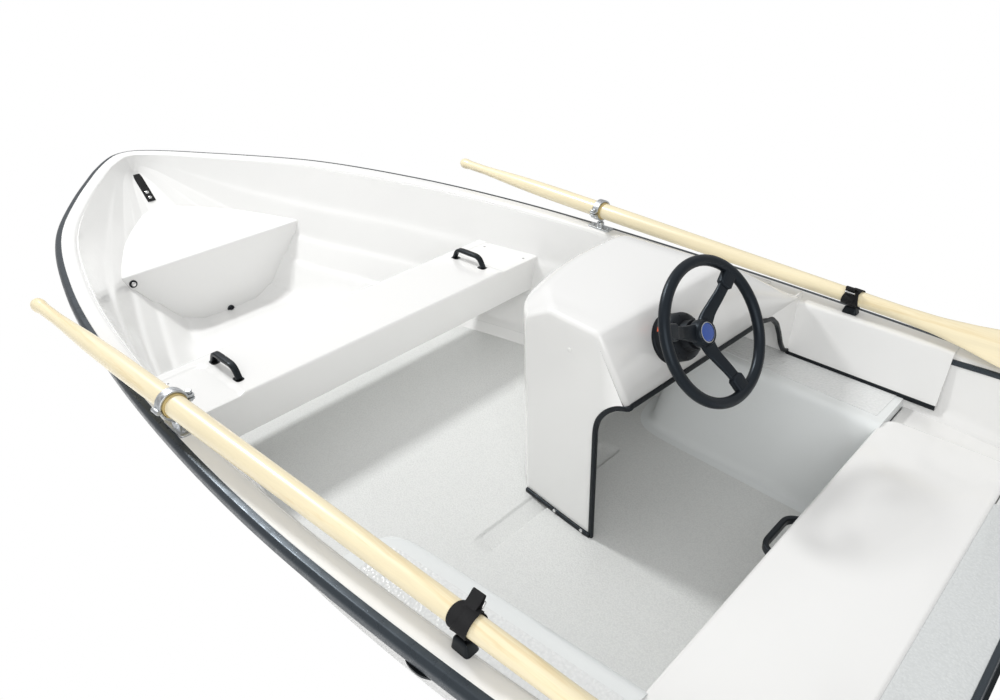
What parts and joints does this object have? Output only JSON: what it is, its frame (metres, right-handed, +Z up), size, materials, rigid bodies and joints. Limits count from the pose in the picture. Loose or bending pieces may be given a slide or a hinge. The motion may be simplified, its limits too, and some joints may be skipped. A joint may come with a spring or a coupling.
{
  "type": "rowing boat",
  "caption": "Open rowing boat with clinker-style planks, bench seats, a side steering console and two oars in hinged oarlocks.",
  "frame": {"origin": "middle of the bounding box, on the ground the keel and runners stand on", "axes": "+X to starboard, +Y to the bow, +Z up"},
  "size_m": [1.6416, 3.7887, 0.8829],
  "materials": {
    "gelcoat_white": "glossy white gelcoat",
    "nonslip_grey": "fine non-slip texture",
    "rail_black": "satin black",
    "trim_black": "satin black",
    "cap_blue": "glossy, blank",
    "strap_black": "woven webbing",
    "galvanised": "dull zinc",
    "liner_yellow": "worn",
    "varnished_wood": "light, varnished"
  },
  "bodies": {
    "hull": {"hull_shell": "gelcoat_white", "gunwale": "gelcoat_white", "rub_rail": "rail_black", "transom": "gelcoat_white", "transom_pad": "trim_black", "transom_drain_plug": "trim_black", "cockpit_floor": "nonslip_grey", "side_box_port": "nonslip_grey", "side_box_starboard": "nonslip_grey", "aft_seat_box": "gelcoat_white", "aft_seat_lid": "gelcoat_white", "aft_deck_strip": "nonslip_grey", "aft_seat_handle": "trim_black", "bow_seat": "gelcoat_white", "bulkhead_knob": "trim_black", "bow_drain_plug": "trim_black", "mid_thwart": "gelcoat_white", "thwart_handle_port": "trim_black", "thwart_handle_starboard": "trim_black", "steering_console": "gelcoat_white", "helm_housing": "trim_black", "oarlock_base_port": "galvanised", "oarlock_base_starboard": "galvanised", "oar_rest_port": "trim_black", "oar_rest_starboard": "trim_black", "side_grip_port": "rail_black", "side_grip_starboard": "rail_black", "bow_strap": "strap_black", "bow_eye": "galvanised"},
    "wheel": {"steering_wheel": "trim_black", "wheel_hub_cap": "cap_blue"},
    "port_oar": {"oar_port": "varnished_wood", "oarlock_liner_port": "liner_yellow", "oarlock_gate_port": "galvanised", "oar_strap_port": "strap_black"},
    "starboard_oar": {"oar_starboard": "varnished_wood", "oarlock_liner_starboard": "liner_yellow", "oarlock_gate_starboard": "galvanised", "oar_strap_starboard": "strap_black"}
  },
  "joints": [
    {"name": "wheel_turn", "type": "hinge", "parent": "hull", "child": "wheel", "pos_m": [0.13337, -0.99579, 0.73183], "axis": [-0.0453, -0.8648, 0.5], "range_deg": [-540, 540]},
    {"name": "port_oar_swing", "type": "hinge", "parent": "hull", "child": "port_oar", "pos_m": [-0.764, -0.204, 0.6], "axis": [0, 0, -1], "range_deg": [0, 95]},
    {"name": "starboard_oar_swing", "type": "hinge", "parent": "hull", "child": "starboard_oar", "pos_m": [0.764, -0.204, 0.6], "axis": [0, 0, 1], "range_deg": [0, 95]}
  ]
}
